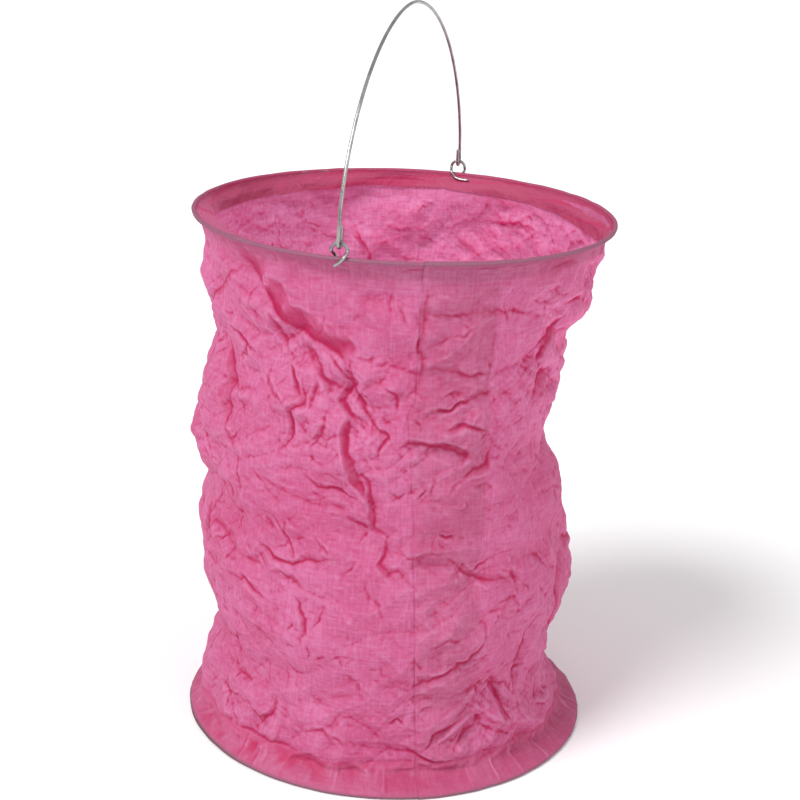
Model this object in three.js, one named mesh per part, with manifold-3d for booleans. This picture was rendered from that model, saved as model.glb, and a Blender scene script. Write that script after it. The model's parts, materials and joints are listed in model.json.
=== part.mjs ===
// An accordion paper lantern: a crinkled paper sleeve between two wire rings, which lets it fold flat,
// with a wire bail hooked through two eyes on the rim and a tin candle cup on the base's cross wires.
// Millimetres, +Z up. The origin is the centre of the foot, on the surface the lantern stands on.
// The bail hangs between the eyes on the Y axis: the front eye is at -Y and the back eye at +Y.
import * as THREE from 'three';
import { mergeVertices } from 'three/addons/utils/BufferGeometryUtils.js';
import Module from 'manifold-3d';

const wasm = await Module();
wasm.setup();

// Driving dimensions
const RING_RADIUS = 80; // both rings, to the centre of the wire
const RING_GAP_Z = 206; // from ring to ring with the paper stretched out
const RING_WIRE = 1.4; // wire diameters
const BAIL_WIRE = 1.5;
const EYE_WIRE = 1.2;
const CROSS_WIRE = 1.5;
const PAPER = 0.4; // thickness allowed for the crinkled sheet
const CLEARANCE = 0.2; // between touching pieces
const TURNS = 48; // facets round every turned piece of the lantern's body

const HEM_BEND = RING_WIRE / 2 + CLEARANCE + PAPER / 2; // radius of the paper's turn round a ring
const TOP_HEM = { leg: [-2.4, -10], flap: [-4.4, -9.5] }; // ends of the hem's two sides, from the ring
const BOTTOM_HEM = { leg: [-4.6, 9], flap: [-6.4, 8.4] };
const BEND_STEP = Math.PI / 4; // the turn round the wire is drawn in eighths of a circle

const SLEEVE_RADIUS = 73.5; // mean radius of the folded wall
const FOLD_DEPTH = 1.8; // the wall's folds, in and out of that radius
const FOLDS = 7;
const SLEEVE_GAP = 0.3; // between the wall and a hem's edge

const EYE_RADIUS = 2.9; // to the centre of the eye's wire
const EYE_RISE = 2.9; // centre of the eye above the rim ring
const HOOK_OFFSET = 1.9; // half the width of the bail's end hook
const HOOK_TIP = 6.5; // length of the hook's free tip above its lowest point
const HINGE_RISE = 4.1; // the bail's axis above the rim ring
const BAIL_RISE = 74.3; // top of the bail's bow above its axis
const BOW_POWER = 1.87; // 2 would be a true ellipse; less is a more pointed bow

const CROSS_ANGLE = Math.PI / 4; // the cross wires run half-way between the eyes
const CUP_RADIUS = 21;
const CUP_HEIGHT = 14;
const CUP_ROLL = 0.8; // how far the cup's rolled rim stands out
const TIN = 0.5;
const TAB = { at: 12, length: 5, tin: 0.3, reach: 2.3 }; // the four tabs that grip the cross wires
const NOTCH = { height: 2.4, rise: 0.3 }; // in the bottom hem, for an end of a cross wire

// Heights that follow from them
const bottomRingZ = HEM_BEND * Math.cos(BEND_STEP / 2) + PAPER / 2;
const topRingZ = bottomRingZ + RING_GAP_Z;
const hingeZ = topRingZ + HINGE_RISE;
const crossStep = CROSS_WIRE + 0.3; // how far the upper cross wire steps over the lower one
const cupFloorZ = bottomRingZ + crossStep + CROSS_WIRE / 2 + 0.25;

const pinkPaper = new THREE.MeshStandardMaterial({ color: 0xd9669c, roughness: 0.85 });
const hemPaper = new THREE.MeshStandardMaterial({ color: 0xc24f86, roughness: 0.85 });
const ringSteel = new THREE.MeshStandardMaterial({ color: 0x8d8f8e, roughness: 0.4, metalness: 1 });
const brightSteel = new THREE.MeshStandardMaterial({ color: 0xb9bdb8, roughness: 0.25, metalness: 1 });
const tinPlate = new THREE.MeshStandardMaterial({ color: 0xc9c9c6, roughness: 0.3, metalness: 1 });

function named(name, geometry, material) {
  const mesh = new THREE.Mesh(geometry, material);
  mesh.name = name;
  return mesh;
}

// A closed outline of [radius, height] points turned round the Z axis, starting at -Y.
function turned(outline) {
  const points = [...outline, outline[0]].map(([r, z]) => new THREE.Vector2(r, z));
  return new THREE.LatheGeometry(points, TURNS).rotateX(Math.PI / 2);
}

// The outline of a strip of paper: its centre line moved half a thickness to each side, with mitred corners.
function stripOutline(line, thickness) {
  const side = line.map((_, i) => {
    const before = normalOf(line[Math.max(i - 1, 0)], line[Math.max(i, 1)]);
    const after = normalOf(line[Math.min(i, line.length - 2)], line[Math.min(i + 1, line.length - 1)]);
    const share = thickness / 2 / (1 + before[0] * after[0] + before[1] * after[1]);
    return [(before[0] + after[0]) * share, (before[1] + after[1]) * share];
  });
  const left = line.map(([r, z], i) => [r + side[i][0], z + side[i][1]]);
  const right = line.map(([r, z], i) => [r - side[i][0], z - side[i][1]]);
  return [...left, ...right.reverse()];
}

function normalOf([r0, z0], [r1, z1]) {
  const length = Math.hypot(r1 - r0, z1 - z0);
  return [(z1 - z0) / length, (r0 - r1) / length];
}

// A round wire swept along a curve.
function wireAlong(curve, diameter, sides, steps) {
  const section = new THREE.Shape();
  for (let i = 0; i < sides; i += 1) {
    const angle = ((i + 0.5) * 2 * Math.PI) / sides;
    section[i ? 'lineTo' : 'moveTo']((diameter / 2) * Math.cos(angle), (diameter / 2) * Math.sin(angle));
  }
  section.closePath();
  curve.arcLengthDivisions = 8 * steps;
  return new THREE.ExtrudeGeometry(section, { extrudePath: curve, steps, bevelEnabled: false });
}

function throughPoints(points) {
  return new THREE.CatmullRomCurve3(points, false, 'centripetal');
}

function toSolid(geometry) {
  const bare = geometry.clone();
  bare.deleteAttribute('normal');
  bare.deleteAttribute('uv');
  const merged = mergeVertices(bare, 1e-5);
  const corners = merged.index.array;
  const kept = [];
  for (let i = 0; i < corners.length; i += 3) {
    const [a, b, c] = [corners[i], corners[i + 1], corners[i + 2]];
    if (a !== b && b !== c && a !== c) kept.push(a, b, c);
  }
  return new wasm.Manifold(
    new wasm.Mesh({
      numProp: 3,
      vertProperties: new Float32Array(merged.attributes.position.array),
      triVerts: new Uint32Array(kept),
    }),
  );
}

function toGeometry(solid) {
  const mesh = solid.getMesh();
  const geometry = new THREE.BufferGeometry();
  geometry.setAttribute('position', new THREE.BufferAttribute(mesh.vertProperties, 3));
  geometry.setIndex(new THREE.BufferAttribute(mesh.triVerts, 1));
  geometry.computeVertexNormals();
  return geometry;
}

// A hoop of wire: a small circle turned round the axis.
function ring(name, z) {
  const sides = 8;
  const outline = [];
  for (let i = 0; i < sides; i += 1) {
    const angle = ((i + 0.5) * 2 * Math.PI) / sides;
    outline.push([RING_RADIUS + (RING_WIRE / 2) * Math.cos(angle), z + (RING_WIRE / 2) * Math.sin(angle)]);
  }
  return named(name, turned(outline), ringSteel);
}

// A hem: paper that comes up one side of a ring's wire, turns over it and goes down inside as a flap.
// up is 1 for the hem over the top ring and -1 for the one under the bottom ring.
function hemGeometry(ringZ, { leg, flap }, up) {
  const line = [[RING_RADIUS + leg[0], ringZ + leg[1]]];
  for (let turn = -BEND_STEP / 2; turn <= Math.PI + BEND_STEP; turn += BEND_STEP) {
    line.push([RING_RADIUS + HEM_BEND * Math.cos(turn), ringZ + up * HEM_BEND * Math.sin(turn)]);
  }
  line.push([RING_RADIUS + flap[0], ringZ + flap[1]]);
  return turned(stripOutline(up > 0 ? line : line.reverse(), PAPER));
}

function topHem() {
  return named('top_hem', hemGeometry(topRingZ, TOP_HEM, 1), hemPaper);
}

// The bottom hem has a notch in its inner side for each end of the cross wires.
function bottomHem() {
  let solid = toSolid(hemGeometry(bottomRingZ, BOTTOM_HEM, -1));
  const inner = SLEEVE_RADIUS - 2 * FOLD_DEPTH;
  const outer = RING_RADIUS - RING_WIRE / 2 + CLEARANCE;
  const notch = new THREE.BoxGeometry(outer - inner, 2 * CROSS_WIRE, NOTCH.height);
  notch.translate((inner + outer) / 2, 0, bottomRingZ + NOTCH.rise);
  for (let quarter = 0; quarter < 4; quarter += 1) {
    const angle = CROSS_ANGLE + (quarter * Math.PI) / 2;
    solid = solid.subtract(toSolid(notch.clone().rotateZ(angle)));
  }
  return named('bottom_hem', toGeometry(solid), hemPaper);
}

// The wall: a tube of paper with shallow ring folds, from one hem's edge to the other's.
function paperSleeve() {
  const apart = PAPER + SLEEVE_GAP;
  const low = [RING_RADIUS + BOTTOM_HEM.leg[0], bottomRingZ + BOTTOM_HEM.leg[1] + apart];
  const high = [RING_RADIUS + TOP_HEM.leg[0], topRingZ + TOP_HEM.leg[1] - apart];
  const line = [low];
  for (let i = 1; i < 2 * FOLDS; i += 1) {
    const radius = SLEEVE_RADIUS + (i % 2 ? -FOLD_DEPTH : FOLD_DEPTH);
    line.push([radius, low[1] + ((high[1] - low[1]) * i) / (2 * FOLDS)]);
  }
  line.push(high);
  return named('paper_sleeve', turned(stripOutline(line, PAPER)), pinkPaper);
}

// An eye: a loop of wire standing on the rim. One end goes down inside the rim and lies along it, and the
// other goes down outside, crosses the first under the rim and ends in a short stub. It stands at -Y, so
// a point is [along the rim, outwards, up], counted from the rim wire's centre. Hand is 1, or -1 for an
// eye wound the other way.
function rimEye(name, turn, hand) {
  const side = HEM_BEND + PAPER / 2 + CLEARANCE + EYE_WIRE / 2;
  const route = [
    [4.8, -side - 0.8, -1.6],
    [3, -side - 0.75, -1.6],
    [1, -side - 0.65, -1.4],
    [-1, -side - 0.3, -0.6],
    [-2.3, -1.9, 1.2],
  ];
  for (let angle = Math.PI; angle > -0.01; angle -= Math.PI / 6) {
    route.push([EYE_RADIUS * Math.cos(angle), 0, EYE_RISE + EYE_RADIUS * Math.sin(angle)]);
  }
  route.push([2.3, 1.9, 1.2], [1.2, side + 0.1, -0.2], [0.2, side + 0.1, -1.1], [-0.9, side + 0.1, -1.8]);
  const points = route.map(([along, out, up]) => new THREE.Vector3(hand * along, -out, up));
  const mesh = named(name, wireAlong(throughPoints(points), EYE_WIRE, 6, 48), brightSteel);
  mesh.position.set(0, 0, topRingZ);
  mesh.geometry.translate(0, -RING_RADIUS, 0);
  mesh.rotation.z = turn;
  return mesh;
}

// The bail: a bow whose half width and rise follow |y/a|^n + |z/b|^n = 1, and at each end a U-shaped hook
// that comes in through the eye and turns its tip up inside the rim.
function bailHandle() {
  const hook = [[RING_RADIUS - HOOK_OFFSET, hingeZ + HOOK_TIP]];
  for (let angle = Math.PI; angle < 2 * Math.PI + 0.01; angle += Math.PI / 6) {
    const [across, up] = [HOOK_OFFSET * Math.cos(angle), HOOK_OFFSET * Math.sin(angle)];
    hook.push([RING_RADIUS + across, hingeZ + HOOK_OFFSET + up]);
  }
  const halfWidth = RING_RADIUS + HOOK_OFFSET;
  const bow = [];
  const bowSteps = 32;
  for (let i = 2; i <= bowSteps - 2; i += 1) {
    const angle = (Math.PI * i) / bowSteps;
    const across = Math.sign(Math.cos(angle)) * Math.abs(Math.cos(angle)) ** (2 / BOW_POWER);
    bow.push([halfWidth * across, hingeZ + BAIL_RISE * Math.sin(angle) ** (2 / BOW_POWER)]);
  }
  const otherHook = hook.map(([y, z]) => [-y, z]).reverse();
  const points = [...hook, ...bow, ...otherHook].map(([y, z]) => new THREE.Vector3(0, y, z));
  return named('bail_handle', wireAlong(throughPoints(points), BAIL_WIRE, 6, 190), brightSteel);
}

// A straight wire across the bottom ring, butted against it at both ends and lifted by step in the middle.
function crossWire(name, angle, step) {
  const reach = RING_RADIUS - RING_WIRE / 2 - CLEARANCE;
  const route = [[-reach, 0], [-11, 0], [-4.5, step], [4.5, step], [11, 0], [reach, 0]];
  const curve = new THREE.CurvePath();
  for (let i = 1; i < route.length; i += 1) {
    const [from, to] = [route[i - 1], route[i]].map(([x, z]) => new THREE.Vector3(x, 0, z));
    curve.add(new THREE.LineCurve3(from, to));
  }
  const mesh = named(name, wireAlong(curve, CROSS_WIRE, 8, step ? 64 : 2), ringSteel);
  mesh.position.z = bottomRingZ;
  mesh.rotation.z = angle;
  return mesh;
}

// One tab of the cup: it hangs beside a cross wire and is folded under it.
function cupTab(angle) {
  const beside = CROSS_WIRE / 2 + CLEARANCE;
  const under = bottomRingZ - CROSS_WIRE / 2 - 0.15;
  const outline = new THREE.Shape();
  outline.moveTo(beside, cupFloorZ + TIN / 2);
  outline.lineTo(beside, under);
  outline.lineTo(beside - TAB.reach, under);
  outline.lineTo(beside - TAB.reach, under - TAB.tin);
  outline.lineTo(beside + TAB.tin, under - TAB.tin);
  outline.lineTo(beside + TAB.tin, cupFloorZ + TIN / 2);
  outline.closePath();
  const tab = new THREE.ExtrudeGeometry(outline, { depth: TAB.length, bevelEnabled: false });
  tab.rotateX(Math.PI / 2).rotateZ(Math.PI / 2);
  return tab.translate(TAB.at - TAB.length / 2, 0, 0).rotateZ(angle);
}

// The candle cup: a pressed tin tray with a rolled rim and four tabs.
function candleCup() {
  const top = cupFloorZ + CUP_HEIGHT;
  const inside = CUP_RADIUS - TIN;
  const outline = [
    [0, cupFloorZ],
    [inside, cupFloorZ],
    [CUP_RADIUS, cupFloorZ + TIN],
    [CUP_RADIUS, top - 2 * CUP_ROLL],
    [CUP_RADIUS + CUP_ROLL, top - 1.5 * CUP_ROLL],
    [CUP_RADIUS + CUP_ROLL, top - 0.5 * CUP_ROLL],
    [CUP_RADIUS, top],
    [inside, top - 0.5 * CUP_ROLL],
    [inside, cupFloorZ + TIN],
    [0, cupFloorZ + TIN],
  ];
  let solid = toSolid(turned(outline));
  for (let quarter = 0; quarter < 4; quarter += 1) {
    solid = solid.add(toSolid(cupTab(CROSS_ANGLE + (quarter * Math.PI) / 2)));
  }
  return named('candle_cup', toGeometry(solid), tinPlate);
}

const lantern = new THREE.Group();
lantern.add(
  paperSleeve(),
  topHem(),
  bottomHem(),
  ring('top_ring', topRingZ),
  ring('bottom_ring', bottomRingZ),
  rimEye('front_eye', 0, 1),
  rimEye('back_eye', Math.PI, -1),
  bailHandle(),
  crossWire('lower_cross_wire', CROSS_ANGLE, 0),
  crossWire('upper_cross_wire', CROSS_ANGLE + Math.PI / 2, crossStep),
  candleCup(),
);

export default lantern;
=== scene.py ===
"""The looks of an accordion paper lantern: crinkled pink paper on two wire rings, with a steel bail.

Lengths are worked out in millimetres and turned into metres when a mesh is made. A place on the wall is given
by its bearing, in degrees from the front eye at -Y towards +X, and its height above the floor.
"""

import json
import math

import bmesh
import bpy
import numpy as np
from mathutils import Matrix, Vector


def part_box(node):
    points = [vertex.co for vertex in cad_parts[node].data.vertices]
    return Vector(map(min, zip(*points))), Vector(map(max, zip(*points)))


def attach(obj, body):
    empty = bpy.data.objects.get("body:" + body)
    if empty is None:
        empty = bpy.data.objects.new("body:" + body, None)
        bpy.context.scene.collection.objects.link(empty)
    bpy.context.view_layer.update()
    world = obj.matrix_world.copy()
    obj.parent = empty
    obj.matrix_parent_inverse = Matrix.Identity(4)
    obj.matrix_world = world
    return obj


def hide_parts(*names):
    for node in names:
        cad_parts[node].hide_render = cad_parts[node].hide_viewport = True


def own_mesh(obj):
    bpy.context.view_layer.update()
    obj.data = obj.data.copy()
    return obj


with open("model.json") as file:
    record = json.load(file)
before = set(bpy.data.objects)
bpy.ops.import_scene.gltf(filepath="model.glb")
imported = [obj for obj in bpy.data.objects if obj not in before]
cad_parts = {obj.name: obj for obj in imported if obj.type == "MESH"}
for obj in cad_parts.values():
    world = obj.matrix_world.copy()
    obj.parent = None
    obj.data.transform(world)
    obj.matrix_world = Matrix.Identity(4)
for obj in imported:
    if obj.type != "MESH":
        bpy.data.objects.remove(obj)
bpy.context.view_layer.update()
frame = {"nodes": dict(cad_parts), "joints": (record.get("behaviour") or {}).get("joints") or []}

MM = 0.001

# -------------------------------------------- sizes taken from the frame


def middle_height(node):
    """The height of a node's middle, in millimetres."""
    low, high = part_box(node)
    return (low.z + high.z) / 2 / MM


def half_size(node, axis):
    """Half a node's size along an axis, in millimetres."""
    low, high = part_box(node)
    return (high[axis] - low[axis]) / 2 / MM


TO_FLATS = math.cos(math.pi / 8)  # the rings' wire has eight sides, and its box stops at their flats
RING_WIRE = half_size("top_ring", 2) / TO_FLATS  # radius of the rings' wire
RING_RADIUS = half_size("top_ring", 0) - RING_WIRE * TO_FLATS
FOOT_RING = middle_height("bottom_ring")
RIM_RING = middle_height("top_ring")
HALF_PAPER = 0.2
BEAD = RING_WIRE + HALF_PAPER  # radius of the paper's turn over a ring's wire
TO_HEM = 0.2  # how far past the sleeve's solid the wall goes on, to meet a hem
WALL_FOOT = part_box("paper_sleeve")[0].z / MM - TO_HEM
WALL_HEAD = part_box("paper_sleeve")[1].z / MM + TO_HEM
HINGE = next(j["pos_m"][2] for j in frame["joints"] if j["name"] == "bail_swing") / MM
MEAN_RADIUS = 74  # of the wall
GIRTH = 2 * math.pi * MEAN_RADIUS

# -------------------------------------------- fields of folds over the wall
#
# Each field takes places as turn (bearing / 360) and height in mm. Its lattice has cells wide mm by tall mm,
# a whole number of them in a full turn, and leans by slant cells for each row. Every field has its own seed.


def smoothstep(low, high, x):
    """From 0 at low to 1 at high by the cubic 3 t^2 - 2 t^3, and level beyond them."""
    t = np.clip((x - low) / (high - low), 0, 1)
    return t * t * (3 - 2 * t)


LATTICE_ROWS = 97  # rows of cells before a lattice repeats
BELOW_ALL_DOMES = -9.0


def lattice(turn, height, wide, tall, slant):
    """Each place's lattice cell and its share of the way across and up that cell."""
    around = round(GIRTH / wide)
    q = height / tall
    p = turn * around + slant * q
    i, j = np.floor(p).astype(int), np.floor(q).astype(int)
    return around, i, j, p - i, q - j


def facets(turn, height, wide, tall, slant, seed):
    """Random heights from -1 to 1 at the corners of a triangle lattice, joined by flat facets."""
    around, i, j, f, g = lattice(turn, height, wide, tall, slant)
    corners = np.random.default_rng(seed).uniform(-1, 1, (around, LATTICE_ROWS))

    def at(di, dj):
        return corners[(i + di) % around, (j + dj) % LATTICE_ROWS]

    lower = at(0, 0) + f * (at(1, 0) - at(0, 0)) + g * (at(0, 1) - at(0, 0))
    upper = at(1, 1) + (1 - f) * (at(0, 1) - at(1, 1)) + (1 - g) * (at(1, 0) - at(1, 1))
    return np.where(f + g < 1, lower, upper)


def swell(turn, height, wide, tall, seed):
    """Random heights from -1 to 1 on a square lattice, joined by smooth curves."""
    around, i, j, f, g = lattice(turn, height, wide, tall, 0)
    corners = np.random.default_rng(seed).uniform(-1, 1, (around, LATTICE_ROWS))
    f, g = f * f * (3 - 2 * f), g * g * (3 - 2 * g)

    def at(di, dj):
        return corners[(i + di) % around, (j + dj) % LATTICE_ROWS]

    low = at(0, 0) * (1 - f) + at(1, 0) * f
    high = at(0, 1) * (1 - f) + at(1, 1) * f
    return low * (1 - g) + high * g


def domes(turn, height, wide, tall, slant, seed):
    """The highest of the nearby domes at each place. Every cell has one dome, off its middle and at a
    random level, which falls away with the square of the distance, in cells. Domes meet in sharp
    valleys."""
    around, i, j, f, g = lattice(turn, height, wide, tall, slant)
    across, up, level = np.random.default_rng(seed).uniform(0, 1, (3, around, LATTICE_ROWS))
    highest = np.full(f.shape, BELOW_ALL_DOMES)
    for di in (-1, 0, 1):
        for dj in (-1, 0, 1):
            cell = (i + di) % around, (j + dj) % LATTICE_ROWS
            x, y = di + across[cell] - f, dj + up[cell] - g
            highest = np.maximum(highest, 0.5 * level[cell] - x * x - y * y)
    return highest


def bent(turn, height, along, up, seed):
    """The place on the wall moved by along mm round it and up mm, each by smooth and faceted fields."""
    shift = swell(turn, height, 42, 38, seed) + 0.6 * facets(turn, height, 16, 15, 0.3, seed + 1)
    rise = swell(turn, height, 36, 34, seed + 2) + 0.6 * facets(turn, height, 15, 14, -0.4, seed + 3)
    return turn + along * shift / GIRTH, height + up * rise


# Smoother and busier patches of the wall: (bearing, height, radius in mm, gain on the small folds).
PATCHES = [
    (38, 172, 20, -0.45), (34, 112, 17, -0.3), (6, 52, 20, -0.4), (-18, 44, 14, -0.35), (-28, 130, 16, -0.25),
    (0, 152, 15, 0.5), (63, 160, 16, 0.5), (52, 32, 18, 0.4), (-22, 172, 14, 0.3), (-40, 20, 14, 0.4),
]


def busyness(turn, height):
    """How strongly the small folds show: 1 on the whole, changed slowly at random and in the patches."""
    gain = 1 + 0.35 * swell(turn, height, 60, 34, 47)
    for bearing, level, radius, extra in PATCHES:
        x = bearing_gap(turn * 360, bearing) * GIRTH / 360
        gain = gain + extra * np.exp(-(x**2 + (height - level) ** 2) / radius**2)
    return gain


def crumple(turn, height):
    """The paper's crumpling in mm outwards: domes and flat facets of several sizes, wider than tall as
    the wall was folded up, each on a lattice bent by larger folds, and cushions, the facets' size without
    its sign. Some lattices are mirrored, so that the facets' slanting edges run both ways."""
    t1, h1 = bent(turn, height, 9, 6, 11)
    t2, h2 = bent(turn, height, 5, 4, 21)
    t3, h3 = bent(turn, height, 4, 3, 31)
    pillows = domes(t1, h1, 36, 20, 0.4, 41) + 0.35
    large = facets(t1, h1, 32, 21, 0.2, 42)
    cushions = np.abs(facets(-t2, h1, 25, 15, -0.1, 43)) - 0.4
    middle = facets(t2, h2, 17, 11, 0.3, 44)
    small = facets(-t3, h3, 9, 6.5, 0.2, 45)
    puckers = np.abs(facets(t3, h2, 12, 7.5, -0.3, 46)) - 0.4
    fine = facets(-t2, h3, 4.8, 3.8, -0.1, 48)
    finest = facets(t3, h2, 2.4, 2, 0.2, 49)
    return 0.8 * pillows + 1.9 * large + 1.8 * cushions + busyness(turn, height) * (
        1.4 * middle + 0.8 * small + 0.9 * puckers + 0.48 * fine + 0.12 * finest
    )


# The wall's outline on two sides, as (height, radius): it bulges and pinches like a loosely folded bellows.
LEFT_SIDE = [
    (0, 76), (10, 75), (28, 73), (41, 64), (50, 71), (64, 75), (85, 76), (98, 74), (112, 78), (126, 77),
    (145, 75), (161, 71), (184, 77), (197, 76), (204.5, 77.4), (205.3, 78.7), (208, 79.2),
]
RIGHT_SIDE = [
    (0, 74), (11, 72), (24, 65), (34, 64.5), (45, 68), (54, 72), (66, 73), (80, 71), (92, 66.5),
    (101, 68), (113, 63), (129, 52.5), (143, 60), (150, 64), (168, 62.5), (172, 65), (176, 71),
    (192, 73), (203.5, 75.8), (205.3, 78.7), (208, 79.2),
]
PLAIN_SIDE = [
    (0, 75), (12, 74.5), (34, 72), (58, 74.5), (84, 73.5), (104, 71.5), (130, 74), (156, 71.5),
    (182, 75), (198, 76), (204.5, 77.4), (205.3, 78.7), (208, 79.2),
]
LEFT_BEARING = -74
RIGHT_BEARING = 106
SIDE_SPREAD = 42  # degrees from its bearing over which a side's outline gives way to the plain one
CORNER = 1.5  # mm each way over which an outline's corners are rounded


def outline_radius(points, height):
    """A side's radius at each height: straight lines between its points, averaged over three nearby
    heights."""
    levels, radii = zip(*points)
    offsets = (-CORNER, 0, CORNER)
    return sum(np.interp(height + d, levels, radii) for d in offsets) / len(offsets)


def bearing_gap(bearing, centre):
    """How far a bearing is from a centre, in degrees, the short way round."""
    return (bearing - centre + 180) % 360 - 180


def wall_radius(bearing, height):
    """The wall's radius before crumpling: the plain outline, drawn over to a side's own outline near it
    by a bell curve of the bearing."""
    left = np.exp(-((bearing_gap(bearing, LEFT_BEARING) / SIDE_SPREAD) ** 2))
    right = np.exp(-((bearing_gap(bearing, RIGHT_BEARING) / SIDE_SPREAD) ** 2))
    plain = outline_radius(PLAIN_SIDE, height)
    return (
        plain
        + left * (outline_radius(LEFT_SIDE, height) - plain)
        + right * (outline_radius(RIGHT_SIDE, height) - plain)
    )


# -------------------------------------------- creases
#
# A crease is ((bearing, height), ...), its depth in mm, and the width in mm of the flat facet on its
# left-hand side, going from its first point to its last: above it where it runs to the right. The facet is on
# the other side if the width is negative.

CREASES = [
    # the great fold under the front eye, with its dark underside, and the deep pleat that runs down from it
    (((-37, 203), (-30, 194), (-24, 186), (-18, 180), (-12, 176), (-6, 174), (-1, 172), (3, 168)), 5.4, 8.0),
    (((1, 169), (4, 161), (1, 154), (5, 147)), 3.2, -2.6),
    (((3, 151), (2, 142), (4, 131), (6, 124), (9, 117)), 4.2, -3.6),
    (((5, 131), (9, 123), (10, 113), (11, 107), (15, 103)), 2.6, -2.0),
    (((-3, 172), (1, 164), (6, 155), (9, 147), (7, 139)), 1.8, 2.0),
    (((12, 163), (16, 159), (15, 151)), 1.6, 2.0),
    (((8, 148), (13, 143), (12, 134)), 1.8, 1.8),
    (((15, 103), (13, 93), (15, 90), (19, 86)), 2.2, -2.0),
    (((-11, 124), (-5, 121), (1, 119), (6, 117)), 2.0, 2.4),
    (((1, 109), (7, 107), (12, 105)), 2.2, 2.4),
    (((-26, 118), (-14, 116), (-4, 113), (3, 112)), 1.2, 2.4),
    # left of the front
    (((-17, 166), (-14, 158), (-12, 151)), 2.4, -2.2),
    (((-12, 161), (-11, 153), (-15, 147), (-15, 139), (-18, 131)), 2.2, -2.2),
    (((-44, 170), (-35, 168), (-28, 165)), 2.0, 2.0),
    (((-48, 150), (-38, 148), (-30, 152)), 1.2, 2.0),
    (((-25, 182), (-21, 176), (-18, 169)), 2.2, -2.4),
    (((-14, 174), (-8, 169), (-4, 161), (-3, 154)), 2.2, -2.8),
    (((-8, 163), (-8, 155), (-10, 149)), 1.8, -1.8),
    (((-4, 150), (-5, 141), (-8, 136)), 1.8, -1.8),
    (((-41, 112), (-40, 107), (-40, 102)), 1.6, -1.8),
    (((-24, 103), (-21, 97)), 1.6, -1.8),
    (((-27, 94), (-21, 89), (-14, 87), (-8, 91), (0, 93)), 2.2, 2.2),
    (((-19, 84), (-13, 80), (-8, 77)), 1.7, 2.0),
    (((-40, 73), (-30, 75), (-21, 71)), 1.8, 2.0),
    (((-12, 76), (-9, 68), (-9, 58)), 1.9, -2.0),
    (((-47, 46), (-41, 42), (-36, 51)), 2.0, 2.0),
    (((-45, 34), (-38, 31), (-30, 33)), 1.8, 2.0),
    (((-27, 60), (-20, 54)), 1.4, 1.8),
    (((-30, 24), (-25, 17), (-20, 22), (-19, 30)), 2.2, 2.2),
    # right of the seam
    (((16, 138), (24, 140), (32, 138), (40, 132)), 3.0, 2.6),
    (((35, 124), (38, 128), (43, 131), (47, 137)), 2.4, -2.2),
    (((13, 87), (18, 90), (23, 84)), 1.6, 2.0),
    (((33, 94), (40, 86), (48, 83), (56, 83)), 2.2, 2.4),
    (((45, 43), (46, 34)), 1.9, -1.8),
    (((51, 40), (56, 26), (59, 17)), 3.2, -3.4),
    (((61, 61), (63, 53), (63, 43), (63, 28)), 3.0, -2.8),
    (((22, 43), (32, 48), (40, 53), (45, 63)), 2.0, 2.0),
    (((36, 38), (43, 40), (51, 38)), 1.8, 2.0),
    (((27, 17), (33, 22), (40, 28)), 2.4, 2.2),
    (((38, 15), (43, 21), (49, 29)), 2.4, 2.2),
    (((14, 17), (22, 15), (31, 12), (37, 11)), 2.0, 2.2),
    (((55, 88), (56, 79)), 2.0, -2.0),
    (((61, 171), (66, 176), (70, 180)), 3.0, -3.2),
    (((60, 164), (63, 170), (66, 174)), 2.6, -2.8),
    (((61, 146), (62, 152), (66, 157), (71, 160)), 3.0, -3.4),
    (((22, 168), (30, 167), (45, 164)), 1.4, 2.0),
    (((23, 150), (31, 153), (38, 157), (46, 158)), 1.7, 2.0),
    (((28, 146), (36, 147), (45, 143)), 1.4, 2.0),
    (((21, 189), (30, 189), (40, 188), (56, 186)), 1.0, 2.0),
    (((55, 201), (65, 202), (74, 201)), 1.6, 2.2),
    (((22, 200), (22, 185), (22, 172), (21, 160)), 0.9, -1.4),
]


STREWN_HEIGHTS = (8, 203)
UPRIGHT_SHARE = 0.3
RIDGE_SHARE = 0.25
RIDGE_HEIGHT = -0.6  # a ridge stands this much for each mm of depth that it would have as a crease


def strewn(seed, count, bearings, lengths, depths, widths):
    """Random creases of three points each, most of them near level. Bearings, lengths, depths and facet
    widths are drawn evenly between two values, and a share of the creases are ridges."""
    draw = np.random.default_rng(seed)
    made = []
    for _ in range(count):
        bearing, height = draw.uniform(*bearings), draw.uniform(*STREWN_HEIGHTS)
        slope = draw.normal(0, 0.35) + (draw.random() < UPRIGHT_SHARE) * math.pi / 2
        reach = draw.uniform(*lengths) / 2
        x, y = reach * math.cos(slope) * 360 / GIRTH, reach * math.sin(slope)
        sag = draw.normal(0, 0.3) * reach
        points = (
            (bearing - x, height - y),
            (bearing - sag * math.sin(slope) * 360 / GIRTH, height + sag * math.cos(slope)),
            (bearing + x, height + y),
        )
        sign = RIDGE_HEIGHT if draw.random() < RIDGE_SHARE else 1
        made.append((points, sign * draw.uniform(*depths), draw.choice((-1, 1)) * draw.uniform(*widths)))
    return made


ALL_CREASES = (
    CREASES
    + strewn(5, 70, (75, 315), (14, 46), (1.2, 3.4), (1.8, 4))
    + strewn(6, 190, (0, 360), (7, 20), (0.5, 1.3), (1, 2.2))
    + strewn(7, 700, (0, 360), (4, 11), (0.25, 0.7), (0.6, 1.2))
)


def wobbled(bearing, height):
    """The place moved a little by faceted fields, so that creases laid on it run unevenly."""
    turn = bearing / 360
    x = 1.3 * facets(turn, height, 9, 8, 0.3, 81) + 0.7 * facets(turn, height, 2.8, 2.6, -0.2, 82)
    y = 1.3 * facets(turn, height, 8, 9, -0.3, 83) + 0.7 * facets(turn, height, 2.6, 2.8, 0.2, 84)
    return bearing + x * 360 / GIRTH, height + y


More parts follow.
